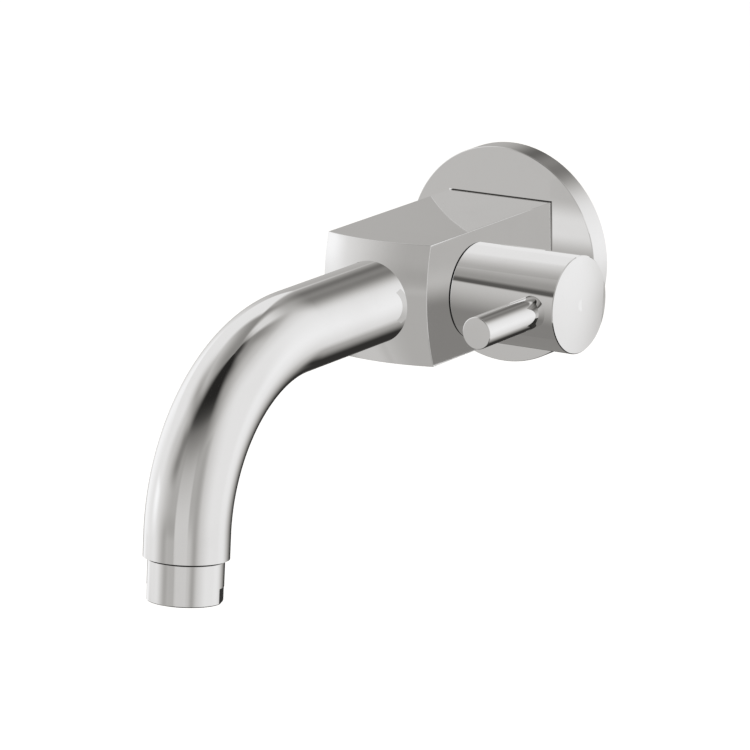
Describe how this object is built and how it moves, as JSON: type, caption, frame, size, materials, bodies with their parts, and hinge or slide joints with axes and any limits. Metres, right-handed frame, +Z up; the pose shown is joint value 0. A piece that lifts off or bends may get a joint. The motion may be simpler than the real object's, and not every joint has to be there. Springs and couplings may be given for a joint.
{
  "type": "sink tap",
  "caption": "Wall-mounted sink tap: square bar on a round flange, bent round spout with an aerator, and a round side handle with a slim pin lever.",
  "frame": {"origin": "on the axis of the inlet nipple, in the plane of the finished wall", "axes": "+Y into the wall along the inlet's axis, +Z up, +X towards the handle; the spout reaches out towards -Y"},
  "size_m": [0.0972, 0.2194, 0.1099],
  "materials": {
    "chrome": "polished",
    "brass": "turned",
    "rubber": "matte",
    "fibre": "matte",
    "ceramic": "lapped",
    "steel": "plain",
    "plastic": "moulded"
  },
  "bodies": {
    "tap": {"tap_body": "chrome", "wall_flange": "chrome", "spout_tube": "chrome", "aerator_housing": "chrome", "inlet_nipple": "brass", "spout_spigot": "brass", "valve_housing": "brass", "flange_wall_seal": "rubber", "flange_grip_seal": "rubber", "spout_o_rings": "rubber", "outlet_seal_ring": "rubber", "aerator_washer": "rubber", "housing_o_ring": "rubber", "seat_seal": "rubber", "nipple_washer": "fibre", "fixed_ceramic_disc": "ceramic", "spout_lock_screw": "steel", "aerator_strainer": "steel", "aerator_insert": "plastic", "aerator_outlet_grid": "plastic", "thrust_washer": "plastic"},
    "handle": {"handle_barrel": "chrome", "lever_pin": "chrome", "handle_glide_ring": "plastic", "handle_adaptor": "plastic", "handle_grub_screw": "steel", "valve_spindle": "brass", "spindle_o_rings": "rubber", "spindle_circlip": "steel", "moving_ceramic_disc": "ceramic"}
  },
  "joints": [
    {"name": "handle_turn", "type": "hinge", "parent": "tap", "child": "handle", "pos_m": [0, -0.0535, 0], "axis": [-1, 0, 0], "range_deg": [0, 90]}
  ]
}
